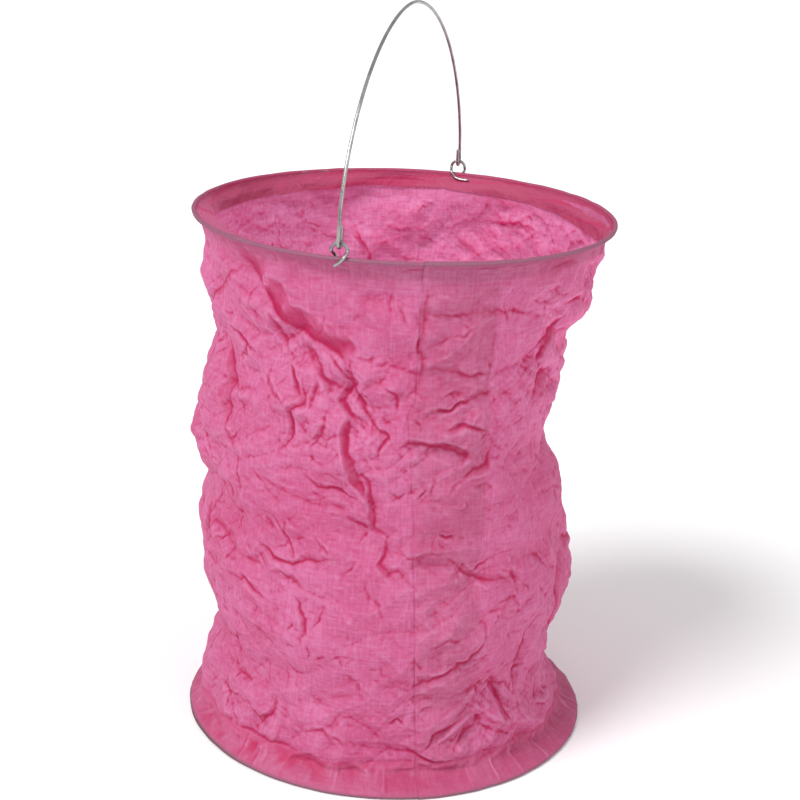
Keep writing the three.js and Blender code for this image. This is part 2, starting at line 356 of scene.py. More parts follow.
REACH = 7  # how many facet widths from its points a crease is looked for
PUSH = 0.64  # mm that the paper moves for each mm of a crease's depth
BACK_SLOPE = 1.7  # width of the slope on a crease's other side, as a multiple of its facet's
END_FADE = 9  # mm, the most over which a crease comes in from its ends
LINE_SPREAD = 0.5  # mm over which the colour along a crease's line fades


def press(bearing, height, uneven, crease, push, shade_and_wear):
    """Adds one crease to push (mm outwards) and to the painted shade (0 to 1) in place. On its facet's side
    the paper dives to the crease along a straight slope, and on the other it comes back along a wider one:
    each slope is 1 less the distance over its width. Its line is coloured deeper, partly for the broken
    fibres and partly as painted shade, and its facet as painted shade. The crease fades and narrows towards
    its two ends, and uneven, from -1 to 1 at each place, changes its width."""
    points, depth, width = crease
    middle = points[len(points) // 2]
    x = bearing_gap(bearing, middle[0]) * GIRTH / 360
    route = [(bearing_gap(b, middle[0]) * GIRTH / 360, h) for b, h in points]
    margin = REACH * abs(width)
    near = (
        (x > min(p[0] for p in route) - margin)
        & (x < max(p[0] for p in route) + margin)
        & (height > min(p[1] for p in route) - margin)
        & (height < max(p[1] for p in route) + margin)
    )
    x, y, uneven = x[near], height[near], uneven[near]
    nearest = np.full(x.shape, 1e9)
    left = np.zeros(x.shape, bool)
    for (x0, y0), (x1, y1) in zip(route, route[1:]):
        dx, dy = x1 - x0, y1 - y0
        along = np.clip(((x - x0) * dx + (y - y0) * dy) / (dx * dx + dy * dy), 0, 1)
        away_x, away_y = x - x0 - along * dx, y - y0 - along * dy
        distance = np.hypot(away_x, away_y)
        left = np.where(distance < nearest, dx * away_y - dy * away_x > 0, left)
        nearest = np.minimum(nearest, distance)
    (x0, y0), (x1, y1) = route[0], route[-1]
    from_ends = np.minimum(np.hypot(x - x0, y - y0), np.hypot(x - x1, y - y1))
    length = sum(math.dist(a, b) for a, b in zip(route, route[1:]))
    strength = 0.15 + 0.85 * smoothstep(0, min(0.4 * length, END_FADE), from_ends)
    facet = left == (width > 0)
    width = abs(width) * (0.3 + 0.7 * strength) * (1 + 0.6 * uneven)
    slope = np.clip(1 - nearest / width, 0, 1)
    back = np.clip(1 - nearest / (BACK_SLOPE * width), 0, 1)
    push[near] -= PUSH * depth * strength * np.where(facet, slope, back)
    # painted shade: the facet is coloured as the shadow of a facet turned from the light, and the line partly
    # so
    facet_shade = facet * min(0.95, 0.2 + 0.15 * abs(depth)) * slope**0.35
    shade = np.maximum(np.exp(-nearest / LINE_SPREAD), facet_shade)
    by_depth = np.clip(0.3 + depth / 3, 0, 1)
    shade_and_wear[near] = np.maximum(shade_and_wear[near], strength * (1 - 0.4 * uneven) * shade * by_depth)


# -------------------------------------------- the sheet: the wall as one grid, and a grid for each hem

SEAM_BEARING = 22  # the glued seam's outer edge
OVERLAP = 21  # degrees that the sheet's end runs on under its start
# how far the seam's edge wanders off its bearing, as (height, degrees)
SEAM_WANDER = [(0, 4), (17, 4), (52, 2), (84, 1), (112, 0), (138, -2), (151, -3), (157, -1), (208, -1)]
LAYER_STEP = 0.3  # mm that the seam's outer end stands out, and its inner end in
STEPS_AROUND = 900
BANDS = ("lower", "middle", "upper")  # the wall is too fine a mesh for one piece
BAND_ROWS = 111
HEM_SIDE_ROWS = 18
HEM_TURN_ROWS = 10
SEAM_DEPTH = 0.28  # how strongly the seam's doubled paper is coloured
HEM_DEPTH = 9  # mm of crushed paper from a hem's edge to its wire
FLAP_RISE = 0.85  # share of its reach down the wall that a lifted flap loses
FLAP_REACH = 0.42  # share of its width that a lifted flap stands inwards
LEAST_HEIGHT = 0.1  # keeps the foot's paper above the floor
WORN_BEARING = -28  # the front left
RUST_BEARING = -58  # where rust from the foot ring has come through


def foot_line(turn):
    """The height of the crease that the bottom flap's edge presses through the wall."""
    return 10.5 + 1.2 * swell(turn, 0 * turn, 30, 30, 63) + 0.6 * facets(turn, 0 * turn, 9, 30, 0, 64)


def chips(turn, along):
    """The crushed paper round the foot: small flat facets of two sizes, in mm."""
    return facets(turn, along, 6, 4.2, 0.3, 72) + 0.5 * facets(-turn, along, 2.6, 2.1, 0.2, 74)


def foot_wear(bearing):
    """How deeply the crushed paper round the foot is coloured, its worn marks and the painted shade in its
    hollows: most at the front left.
    """
    return 0.3 + 0.6 * np.exp(-((bearing_gap(bearing, WORN_BEARING) / 38) ** 2))


def wall_surface(bearing, height):
    """Radius of the crumpled wall in mm at each place, and how deeply its colour is darkened there, from 0
    to 1: painted shade along the creases and on their facets, along the line that the bottom flap's edge
    presses through, and in the hollows of the crushed paper round the foot. To the outline it adds the
    crumpling, the creases, that line and the crushed paper round the foot, all of them held down near the
    two rings."""
    turn = bearing / 360
    push = crumple(turn, height)
    shade_and_wear = np.zeros(push.shape)
    crease_bearing, crease_height = wobbled(bearing, height)
    uneven = swell(turn, height, 8, 8, 85)
    for crease in ALL_CREASES:
        press(crease_bearing, crease_height, uneven, crease, push, shade_and_wear)
    above_line = height - foot_line(turn)
    line = np.exp(-np.abs(above_line) / 1.3) * (0.55 + 0.45 * swell(turn, height, 26, 90, 65))
    push -= 1.3 * line
    # the pressed line is coloured deeper, partly for the pressed paper and partly as painted shade, most
    # where the foot is worn
    shade_and_wear = np.maximum(shade_and_wear, (0.4 + 0.6 * foot_wear(bearing)) * line)
    crushed = smoothstep(12, 5, height - FOOT_RING)
    chip = chips(turn, height)
    push += 0.9 * crushed * chip
    # painted shade in the crushed paper's inward hollows, most where the foot is worn
    shade_and_wear = np.maximum(shade_and_wear, crushed * foot_wear(bearing) * smoothstep(0.1, -0.7, chip))
    below_rim = RIM_RING - height
    glued = smoothstep(0.5, 4, below_rim) * (0.55 + 0.45 * smoothstep(7, 13, below_rim))
    loose = 0.3 + 0.7 * smoothstep(0, 6, height - FOOT_RING) * glued
    return wall_radius(bearing, height) + push * loose, shade_and_wear


def pleats(turn, seed):
    """Small upright pleats of the hems, from -1 to 1."""
    return facets(turn, 0 * turn, 3.4, 10, 0, seed) * (0.5 + 0.5 * swell(turn, 0 * turn, 24, 10, seed + 1))


def around_grid(height):
    """The share of the way round the sheet and the bearing at each column, for rows at the given heights.
    The seam's wandering dies away round the sheet."""
    share = np.linspace(0, 1, STEPS_AROUND + 1)[None, :] + 0 * height
    wander = np.interp(height, *zip(*SEAM_WANDER)) * np.exp(-20 * share)
    return share, SEAM_BEARING + wander + share * (360 + OVERLAP)


def seam_step(share):
    """How far the sheet stands off the wall's mid surface in mm: its start lies outside its own end."""
    outer = LAYER_STEP * (1 - smoothstep(0.0, 0.09, share))
    lifted_edge = 0.1 * np.exp(-share * 500)
    inner = -LAYER_STEP * smoothstep(0.9, 0.945, share)
    return outer + lifted_edge + inner


def place(radius, bearing, height):
    """Points at a radius, bearing and height, in metres."""
    angle = np.radians(bearing)
    return np.stack([radius * np.sin(angle), -radius * np.cos(angle), height], -1) * MM


def doubled(share):
    """1 where the sheet lies on its own end, at the seam."""
    return 1.0 * (share * (360 + OVERLAP) < OVERLAP)


def finished_sheet(points, bearing, crease, double, wire, hem=False):
    """A grid of paper with what its material needs. fold is how far each point lies below (positive) or
    above (negative) its neighbours two steps away, in mm, and a hem's fold counts only those beside it;
    the material paints shade in its hollows and a highlight on its ridges from it.
    up is the length up the sheet: the height on the wall, and the mean length run from its first row on a
    hem."""
    outwards = np.hypot(points[..., 0], points[..., 1]) / MM
    ends = np.pad(outwards, 2, mode="edge")
    fold = ends[2:-2, :-4] + ends[2:-2, 4:] - 2 * outwards
    if not hem:
        fold += ends[:-4, 2:-2] + ends[4:, 2:-2] - 2 * outwards
    steps = np.linalg.norm(np.diff(points, axis=0), axis=-1).mean(1)
    run = np.concatenate([[0], np.cumsum(steps)])[:, None] + 0 * bearing
    return {
        "points": points, "bearing": bearing, "up": run if hem else points[..., 2],
        "fold": fold, "crease": crease, "double_layer": double, "over_wire": wire,
    }


def wall_sheet():
    """The whole wall as one grid, from the bottom hem's edge to the top hem's."""
    height = np.linspace(WALL_FOOT, WALL_HEAD, len(BANDS) * BAND_ROWS + 1)[:, None]
    share, bearing = around_grid(height)
    height = height + 0 * share
    radius, shade_and_wear = wall_surface(bearing, height)
    points = place(radius + seam_step(share), bearing, height)
    return finished_sheet(points, bearing, shade_and_wear, SEAM_DEPTH * doubled(share), 0 * share)


def flap_width(bearing):
    """How far each hem's flap reaches back from its ring, in mm: wider at the left and on the right."""
    left = np.exp(-((bearing_gap(bearing, -60) / 40) ** 2))
    right = np.exp(-((bearing_gap(bearing, 120) / 32) ** 2))
    return 6.4 + 2.4 * left + 1.8 * right


def hem_piece(ring, up, wall_edge, spread, flap_gap, flap_lift, outer_double):
    """A hem: from the wall's edge out to the wire, half round it on a circle of the bead's radius, and
    back along the inside to a ragged free edge that stands flap_gap(bearing) mm off the wall, or reaches
    level inwards where flap_lift(bearing) is 1. at goes from 0 to 1 along each of the three. up is 1 at
    the rim and -1 at the foot, spread is the share of the outer side over which the paper leaves the wall
    for the wire, and outer_double is how strongly the outer side is coloured as doubled paper."""
    side = np.arange(HEM_SIDE_ROWS) / HEM_SIDE_ROWS
    half_turn = np.arange(HEM_TURN_ROWS) / HEM_TURN_ROWS
    at = np.concatenate([side, half_turn, side, [1]])[:, None]
    outside = np.arange(len(at))[:, None] < HEM_SIDE_ROWS
    inside = np.arange(len(at))[:, None] >= HEM_SIDE_ROWS + HEM_TURN_ROWS
    share, bearing = around_grid(0 * at + ring)
    at = at + 0 * share
    turn = bearing / 360
    thick = BEAD + seam_step(share) * doubled(share) + 0.12 * facets(turn, 0 * turn, 5, 9, 0, 66)

    out_height = wall_edge + (ring - wall_edge) * at
    wall_out, shade_and_wear = wall_surface(bearing, out_height)
    leave = smoothstep(1 - spread, 1, at)
    out_radius = wall_out * (1 - leave) + (RING_RADIUS + thick) * leave
    out_radius += 0.5 * pleats(turn, 67) * np.sin(math.pi * at)
    down_hem = wall_edge + up * HEM_DEPTH * at
    chip = chips(turn, down_hem)
    pucker = np.clip(4 * np.abs(facets(turn, 0 * turn, 3.6, 9, 0, 73)) - 3, 0, 1)
    out_radius += spread * (1.0 * chip * leave + 1.2 * pucker) * np.sin(math.pi * at) ** 0.7

    around_wire = at * math.pi
    bead_radius = RING_RADIUS + thick * np.cos(around_wire)
    bead_height = np.maximum(ring + up * thick * np.sin(around_wire), LEAST_HEIGHT)

    ragged = 0.7 * swell(turn, 0 * turn, 15, 10, 61)
    width = flap_width(bearing) + ragged + 0.8 * swell(turn, 0 * turn, 60, 10, 62)
    lift = flap_lift(bearing)
    waves = 0.12 * lift * facets(turn, 0 * turn, 8, 9, 0, 79)
    in_height = ring - up * width * at * (1 - FLAP_RISE * lift + waves)
    wall_in = wall_surface(bearing, in_height)[0]
    join = smoothstep(0, 0.55, at)
    gap = 0.7 + flap_gap(bearing) * at**1.5
    in_radius = (RING_RADIUS - thick) * (1 - join) + (wall_in - gap) * join + 0.35 * pleats(turn, 69) * at
    in_radius = np.minimum(in_radius, RING_RADIUS - thick) - FLAP_REACH * width * lift * at**0.9

    radius = np.where(outside, out_radius, np.where(inside, in_radius, bead_radius))
    step = np.where(outside, seam_step(share), np.where(inside, -seam_step(share), 0))
    step *= np.where(outside, 1 - leave, join)
    height = np.where(outside, out_height, np.where(inside, in_height, bead_height))
    # painted shade in the crushed paper's inward hollows, most where the foot is worn, then joined by the
    # crushed paper's own crackle
    hollow_shade_and_crackle = foot_wear(bearing) * smoothstep(0.1, -0.7, chip) * smoothstep(1, 0.6, at)
    crackle = 0.6 * smoothstep(0.4, 0.75, np.abs(facets(turn, down_hem, 2.3, 1.9, 0.2, 77)))
    hollow_shade_and_crackle = spread * np.maximum(hollow_shade_and_crackle, crackle * foot_wear(bearing))
    streaks = 0.5 * smoothstep(0.1, 0.6, facets(turn, in_height, 14, 3, 1.5, 75))
    # outside: the painted shade of the creases and hollows with the crackle; inside: the flap's own streaks
    crease = np.where(outside, np.maximum(shade_and_wear * (1 - leave), hollow_shade_and_crackle), np.where(inside, streaks, 0))
    double = np.where(outside, outer_double, 1.15 - 0.55 * lift) + 0 * share
    wire = np.where(outside, smoothstep(0.93, 1, at), np.where(inside, 0, 1 - smoothstep(0.45, 0.75, at)))
    rust = (up < 0) * np.exp(-((bearing_gap(bearing, RUST_BEARING) / 46) ** 2))
    wire = np.maximum(wire, outside * rust * smoothstep(0.85, 0.92, at)) * (1 + rust)
    points = place(radius + step, bearing, height)
    return finished_sheet(points, bearing, crease, double, wire, hem=True)


# -------------------------------------------- meshes


def make_mesh(name, vertices, faces):
    """A mesh object from an array of vertices in metres and a list of faces."""
    mesh = bpy.data.meshes.new(name)
    mesh.from_pydata(vertices.tolist(), [], faces)
    mesh.update()
    piece = bpy.data.objects.new(name, mesh)
    bpy.context.scene.collection.objects.link(piece)
    return piece


def grid_faces(rows, columns, flip=False):
    """The quads of a grid of rows by columns vertices."""
    i, j = np.meshgrid(np.arange(rows - 1), np.arange(columns - 1), indexing="ij")
    a = i * columns + j
    quads = np.stack([a, a + 1, a + columns + 1, a + columns], -1).reshape(-1, 4)
    return (quads[:, ::-1] if flip else quads).tolist()


def paper_object(name, sheet, flip=False):
    """A grid of paper as a mesh, its values as attributes, and a map in metres along and up the sheet."""
    points = sheet["points"]
    rows, columns = points.shape[:2]
    piece = make_mesh(name, points.reshape(-1, 3), grid_faces(rows, columns, flip))
    piece.data.shade_smooth()
    for value in ("fold", "crease", "double_layer", "over_wire"):
        attribute = piece.data.attributes.new(value, "FLOAT", "POINT")
        attribute.data.foreach_set("value", np.ascontiguousarray(sheet[value], np.float32).ravel())
    layer = piece.data.uv_layers.new(name="sheet")
    corner = np.empty(len(piece.data.loops), np.int32)
    piece.data.loops.foreach_get("vertex_index", corner)
    along = (sheet["bearing"] * GIRTH / 360 * MM).ravel()
    up = sheet["up"].ravel()
    layer.data.foreach_set("uv", np.stack([along[corner], up[corner]], -1).astype(np.float32).ravel())
    return piece


def closed_solid(name, points):
    """A closed solid from rows of points in mm, each row once round it: quads join each row to the next,
    and one face closes each end. Its faces are turned outwards."""
    rows, columns = points.shape[:2]
    i, j = np.meshgrid(np.arange(rows - 1), np.arange(columns), indexing="ij")
    a, b = i * columns + j, i * columns + (j + 1) % columns
    quads = np.stack([a, b, b + columns, a + columns], -1).reshape(-1, 4).tolist()
    ends = [list(range(columns)), list(range((rows - 1) * columns, rows * columns))]
    piece = make_mesh(name, points.reshape(-1, 3) * MM, quads + ends)
    work = bmesh.new()
    work.from_mesh(piece.data)
    bmesh.ops.recalc_face_normals(work, faces=work.faces)
    work.to_mesh(piece.data)
    work.free()
    return piece


CAP_ROWS = 4
CAP_TIP = 0.02  # radius of a cap's last circle, as a share of the wire's


def tube(name, path, radius, across, sides=20):
    """A round wire: circles of the given radius set square to the path, turned by the fixed direction
    across, and closed at each end by a half ball of circles whose radii follow the cosine."""
    heading = np.gradient(path, axis=0)
    heading /= np.linalg.norm(heading, axis=1, keepdims=True)
    cap = np.linspace(0, math.pi / 2, CAP_ROWS + 1)[1:]
    start = path[0] - heading[0] * radius * np.sin(cap[::-1])[:, None]
    end = path[-1] + heading[-1] * radius * np.sin(cap)[:, None]
    centres = np.concatenate([start, path, end])
    first, last = np.repeat(heading[:1], CAP_ROWS, 0), np.repeat(heading[-1:], CAP_ROWS, 0)
    headings = np.concatenate([first, heading, last])
    tips = np.maximum(np.cos(cap), CAP_TIP)
    radii = radius * np.concatenate([tips[::-1], np.ones(len(path)), tips])
    sideways = np.cross(headings, np.asarray(across, float))
    sideways /= np.linalg.norm(sideways, axis=1, keepdims=True)
    upward = np.cross(sideways, headings)
    angle = np.arange(sides) * 2 * math.pi / sides
    cosine, sine = np.cos(angle)[None, :, None], np.sin(angle)[None, :, None]
    circle = cosine * sideways[:, None] + sine * upward[:, None]
    piece = closed_solid(name, centres[:, None] + radii[:, None, None] * circle)
    piece.data.shade_smooth()
    return piece


# -------------------------------------------- materials


class Nodes:
    """Short names for building a material's nodes."""

    def __init__(self, name):
        self.material = bpy.data.materials.new(name)
        self.material.use_nodes = True
        self.tree = self.material.node_tree
        self.tree.nodes.clear()
        self.output = self.add("ShaderNodeOutputMaterial")

    def add(self, kind, inputs=None, **settings):
        """A node with its settings, each of its inputs linked or given a value."""
        node = self.tree.nodes.new(kind)
        for key, value in settings.items():
            setattr(node, key, value)
        for key, value in (inputs or {}).items():
            if isinstance(value, bpy.types.NodeSocket):
                self.tree.links.new(value, node.inputs[key])
            else:
                node.inputs[key].default_value = value
        return node

    def finish(self, shader):
        self.tree.links.new(shader.outputs[0], self.output.inputs["Surface"])
        return self.material

    def on_piece(self):
        return self.add("ShaderNodeTexCoord").outputs["Object"]

    def attribute(self, name):
        return self.add("ShaderNodeAttribute", attribute_name=name).outputs["Fac"]

    def noise(self, vector, scale, detail):
        inputs = {"Vector": vector, "Scale": scale, "Detail": detail}
        return self.add("ShaderNodeTexNoise", inputs).outputs["Fac"]

    def threads(self, uv, across, along, detail):
        """Noise drawn out along one way of the sheet, with so many threads to the metre each way."""
        drawn_out = self.add("ShaderNodeMapping", {"Vector": uv, "Scale": (across, along, 1.0)})
        return self.noise(drawn_out.outputs["Vector"], 1.0, detail)

    def band(self, value, low, high, start=0.0, stop=1.0):
        """A value's way from low to high, as a number from start to stop."""
        inputs = {"Value": value, "From Min": low, "From Max": high, "To Min": start, "To Max": stop}
        return self.add("ShaderNodeMapRange", inputs).outputs["Result"]

    def bump(self, height, strength, distance):
        inputs = {"Height": height, "Strength": strength, "Distance": distance}
        return self.add("ShaderNodeBump", inputs).outputs["Normal"]

    def math(self, operation, a, b):
        return self.add("ShaderNodeMath", {0: a, 1: b}, operation=operation).outputs[0]

    def mix(self, factor, a, b):
        """A colour between a and b, each of them a socket or a colour."""
        node = self.add("ShaderNodeMix", {0: factor}, data_type="RGBA")
        for index, value in ((6, a), (7, b)):
            if isinstance(value, bpy.types.NodeSocket):
                self.tree.links.new(value, node.inputs[index])
            else:
                node.inputs[index].default_value = (*value, 1)
        return node.outputs[2]


PINK_LIGHT = (0.71, 0.205, 0.42)
PINK_DEEP = (0.63, 0.115, 0.285)
# painted shade in creases and hollows, and the colour of the foot's worn marks and the flap's streaks
CREASE_SHADE_AND_MARK_PINK = (0.52, 0.014, 0.105)
# the pale threads, mottle and streaks, and the painted highlight on ridges
GRAIN_AND_HIGHLIGHT_PINK = (0.76, 0.30, 0.52)
HEM_SALMON = (0.44, 0.06, 0.145)
WIRE_SHOWING = (0.29, 0.115, 0.18)
WIRE_RUST = (0.15, 0.055, 0.065)
FLOOR_WHITE = (0.9, 0.9, 0.9)


def pink_paper():
    """Thin dyed paper: soft diffuse front, light let through from behind, painted shade in creases and
    hollows, worn marks round the foot and a painted highlight on ridges, deeper colour where it is doubled,
    mauve where the wire shows through, and a fine laid grain."""
    n = Nodes("crinkled pink paper")
    uv = n.add("ShaderNodeUVMap", uv_map="sheet").outputs["UV"]
    on_piece = n.on_piece()
    cloud = n.noise(on_piece, 38.0, 3.0)
    mottle = n.noise(on_piece, 520.0, 4.0)
    upright = n.threads(uv, 1050.0, 180.0, 2.0)
    level = n.threads(uv, 180.0, 950.0, 2.0)
    pale = n.threads(uv, 300.0, 26.0, 3.0)
    fold = n.attribute("fold")
    crease = n.attribute("crease")
    double = n.attribute("double_layer")
    wire = n.attribute("over_wire")
    rubbed = n.math("MULTIPLY", wire, n.band(mottle, 0.0, 0.5))

    colour = n.mix(n.band(cloud, 0.35, 0.68), PINK_LIGHT, PINK_DEEP)
    for amount, share, tone in (
        (n.band(upright, 0.5, 0.64), 0.5, PINK_DEEP),
        (n.band(level, 0.5, 0.64), 0.5, PINK_DEEP),
        (n.band(upright, 0.46, 0.34), 0.25, GRAIN_AND_HIGHLIGHT_PINK),
        (n.band(level, 0.46, 0.34), 0.25, GRAIN_AND_HIGHLIGHT_PINK),
        (n.band(mottle, 0.52, 0.72), 0.25, GRAIN_AND_HIGHLIGHT_PINK),
        (n.band(pale, 0.56, 0.7), 0.3, GRAIN_AND_HIGHLIGHT_PINK),
        (double, 0.85, HEM_SALMON),
        # painted highlight on ridges, then painted shade in hollows, both from the fold
        (n.band(fold, -0.12, -1.0), 0.55, GRAIN_AND_HIGHLIGHT_PINK),
        (n.band(fold, 0.12, 1.1), 0.85, CREASE_SHADE_AND_MARK_PINK),
        # painted shade along creases, on their facets and in the crushed paper's hollows, with the foot's
        # worn marks and the flap's streaks
        (crease, 0.95, CREASE_SHADE_AND_MARK_PINK),
        (rubbed, 0.9, WIRE_SHOWING),
        (n.band(wire, 1.1, 1.7), 0.85, WIRE_RUST),
    ):
        colour = n.mix(n.math("MULTIPLY", amount, share), colour, tone)

    cells = n.add("ShaderNodeTexVoronoi", {"Vector": on_piece, "Scale": 330.0}, feature="DISTANCE_TO_EDGE")
    wrinkle = cells.outputs["Distance"]
    grain = n.math("ADD", n.math("MULTIPLY", upright, 0.5), n.math("MULTIPLY", level, 0.5))
    relief = n.math("ADD", n.math("MULTIPLY", wrinkle, 0.7), n.math("MULTIPLY", mottle, 0.3))
    bump = n.bump(n.math("ADD", relief, grain), 0.5, 0.0008)

    front = n.add("ShaderNodeBsdfPrincipled", {
        "Base Color": colour, "Normal": bump, "Roughness": 0.62, "Specular IOR Level": 0.35,
    })
    through = n.add("ShaderNodeBsdfTranslucent", {"Color": colour, "Normal": bump})
    let_through = n.band(double, 0.0, 1.0, 0.45, 0.2)
    both = n.add("ShaderNodeMixShader", {0: let_through, 1: front.outputs[0], 2: through.outputs[0]})
    return n.finish(both)


def wire_material(name, colour, roughness):
    """Worn bare metal: its brightness drifts in patches, and fine specks change its roughness and
    surface."""
    n = Nodes(name)
    where = n.on_piece()
    patches = n.noise(where, 160.0, 4.0)
    specks = n.noise(where, 1800.0, 3.0)
    dark = tuple(c * 0.7 for c in colour)
    metal = n.add("ShaderNodeBsdfPrincipled", {
        "Base Color": n.mix(n.band(patches, 0.38, 0.62), dark, colour),
        "Roughness": n.band(specks, 0.0, 1.0, roughness * 0.7, roughness * 1.5),
        "Normal": n.bump(specks, 0.25, 0.0002),
        "Metallic": 1.0,
    })
    return n.finish(metal)


def floor_material():
    """Matt near-white, very slightly clouded."""
    n = Nodes("pale floor")
    cloud = n.noise(n.on_piece(), 3.0, 2.0)
    shade = n.mix(cloud, FLOOR_WHITE, tuple(c * 0.985 for c in FLOOR_WHITE))
    return n.finish(n.add("ShaderNodeBsdfPrincipled", {"Base Color": shade, "Roughness": 0.9}))


def dress(piece, material, body, slot, *replaced):
    """Gives a piece its only material, its body and the CAD nodes that it stands for. slot is not used."""
    piece.data.materials.clear()
    piece.data.materials.append(material)
    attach(piece, body)
    if replaced:
        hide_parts(*replaced)


# -------------------------------------------- the paper


def rim_flap_gap(bearing):
    """The rim's flap is looser at the front left."""
    return 0.5 + 1.2 * np.exp(-((bearing_gap(bearing, -60) / 34) ** 2))


def rim_flap_lift(bearing):
    """The rim's flap has come unstuck and stands nearly level at the left of the front."""
    return np.exp(-((bearing_gap(bearing, -50) / 36) ** 4))


def foot_flap_gap(bearing):
    """The foot's flap stands off the wall unevenly."""
    return 0.6 + 0.6 * swell(bearing / 360, 0 * bearing, 27, 10, 71)


def no_lift(bearing):
    """The foot's flap is stuck down all round."""
    return 0 * bearing


paper = pink_paper()
wall = wall_sheet()
for k, level in enumerate(BANDS):
    rows = slice(k * BAND_ROWS, (k + 1) * BAND_ROWS + 1)
    band = paper_object(level + "_wall", {name: values[rows] for name, values in wall.items()})
    dress(band, paper, "base", "sleeve_paper", "paper_sleeve")
    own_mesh(band)

top_sheet = hem_piece(
    RIM_RING, 1, WALL_HEAD, spread=0.24, flap_gap=rim_flap_gap, flap_lift=rim_flap_lift, outer_double=0.1
)
top_hem = paper_object("top_hem_paper", top_sheet)
dress(top_hem, paper, "top_rim", "hem_paper", "top_hem")
bottom_sheet = hem_piece(
    FOOT_RING, -1, WALL_FOOT, spread=0.66, flap_gap=foot_flap_gap, flap_lift=no_lift, outer_double=0.7
)
bottom_hem = paper_object("bottom_hem_paper", bottom_sheet, flip=True)
dress(bottom_hem, paper, "base", "hem_paper", "bottom_hem")

# -------------------------------------------- the wires

ring_steel = wire_material("dull ring wire", (0.42, 0.42, 0.41), 0.42)
bright_steel = wire_material("bright bail wire", (0.41, 0.40, 0.39), 0.27)
tin = wire_material("cup tin plate", (0.60, 0.60, 0.58), 0.3)

# radii of the wires
BAIL_WIRE = half_size("bail_handle", 0)
EYE_WIRE = 0.6
CROSS_WIRE = 0.75

BAIL_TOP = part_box("bail_handle")[1].z / MM - BAIL_WIRE
HOOK_OFFSET = 1.9  # half the width of the bail's end hook
HOOK_TIP = 6.5  # how far the hook's tip stands above the hinge
BOW_POWER = 1.87
BOW_START = 0.2  # the angle on the bow at which it leaves the hook
EYE_LOOP = 2.9  # radius of an eye's loop, and its middle's height above the ring
CROSS_STEP = 1.8  # how far the upper cross wire steps over the lower one
CROSS_TURN = math.radians(45)
CROSS_BEND = (4.5, 11)  # mm from the middle between which the upper wire comes down


def bail_path():
    """Half the bail from its tip: down, round the hook's half circle, then up the bow
    |y / a|^n + |z / b|^n = 1 with n = BOW_POWER; the other half mirrors it."""
    down = np.linspace(HOOK_TIP, HOOK_OFFSET + 0.4, 6)
    tip = np.stack([0 * down + RING_RADIUS - HOOK_OFFSET, HINGE + down], -1)
    turn = np.linspace(math.pi, 2 * math.pi, 17)
    out, up = HOOK_OFFSET * np.cos(turn), HOOK_OFFSET * (1 + np.sin(turn))
    hook = np.stack([RING_RADIUS + out, HINGE + up], -1)
    swing = np.linspace(BOW_START, math.pi / 2, 70)
    out = (RING_RADIUS + HOOK_OFFSET) * np.cos(swing) ** (2 / BOW_POWER)
    up = (BAIL_TOP - HINGE) * np.sin(swing) ** (2 / BOW_POWER)
    bow = np.stack([out, HINGE + up], -1)
    half = np.concatenate([tip, hook, bow])
    whole = np.concatenate([half, (half * (-1, 1))[-2::-1]])
    return np.column_stack([0 * whole[:, 0], whole])


def through_points(points, steps=8):
    """A smooth curve through points: the Catmull-Rom cubic between each two, from their neighbours."""
    p = np.asarray(points, float)
    p = np.concatenate([[2 * p[0] - p[1]], p, [2 * p[-1] - p[-2]]])
    t = (np.arange(steps) / steps)[:, None]
    before, start, end, after = (p[k : len(p) - 3 + k, None, :] for k in range(4))
    third = 3 * (start - end) + after - before
    second = 2 * before - 5 * start + 4 * end - after
    curve = start + 0.5 * t * (end - before + t * (second + t * third))
    return np.concatenate([curve.reshape(-1, 3), p[-2:-1]])


def eye_path(facing_back):
    """An eye's wire as (along the rim, outwards, up) from the ring's middle, set at -Y, or its mirror
    image at +Y: along the inside of the rim, up through the loop, and down outside to a short stub."""
    side = BEAD + EYE_WIRE + 0.4
    start = [(4.8, -side - 0.8, -1.6), (3, -side - 0.75, -1.6), (1, -side - 0.65, -1.4)]
    angle = np.linspace(math.pi, 0, 7)
    loop = np.stack([EYE_LOOP * np.cos(angle), 0 * angle, EYE_LOOP * (1 + np.sin(angle))], -1).tolist()
    end = [(2.3, 1.9, 1.2), (1.2, side, -0.2), (0.2, side, -1.1), (-0.9, side, -1.8)]
    route = through_points([*start, (-1, -side - 0.3, -0.6), (-2.3, -1.9, 1.2), *loop, *end])
    path = np.stack([route[:, 0], -RING_RADIUS - route[:, 1], RIM_RING + route[:, 2]], -1)
    return path * (1, -1, 1) if facing_back else path


def cross_path(turn, step):
    """A wire across the bottom ring, lifted by step over the middle with eased bends: the rise follows the
    smooth step between the two places of CROSS_BEND."""
    reach = RING_RADIUS - RING_WIRE - 0.3
    straight = np.linspace(-reach, -12, 8)
    x = np.concatenate([straight, np.linspace(-11.5, 11.5, 60), -straight[::-1]])
    z = FOOT_RING + step * smoothstep(-CROSS_BEND[1], -CROSS_BEND[0], -np.abs(x))
    return np.stack([x * math.cos(turn), x * math.sin(turn), z], -1)


bail = tube("bail_wire", bail_path(), BAIL_WIRE, (1, 0, 0))
dress(bail, bright_steel, "bail", "bail_wire", "bail_handle")

for name, facing_back in (("front_eye", False), ("back_eye", True)):
    eye = tube(name + "_wire", eye_path(facing_back), EYE_WIRE, (0, 1, 0), sides=14)
    dress(eye, bright_steel, "top_rim", "bail_wire", name)

for node in ("top_ring", "bottom_ring"):
    frame["nodes"][node].data.materials.clear()
    frame["nodes"][node].data.materials.append(ring_steel)

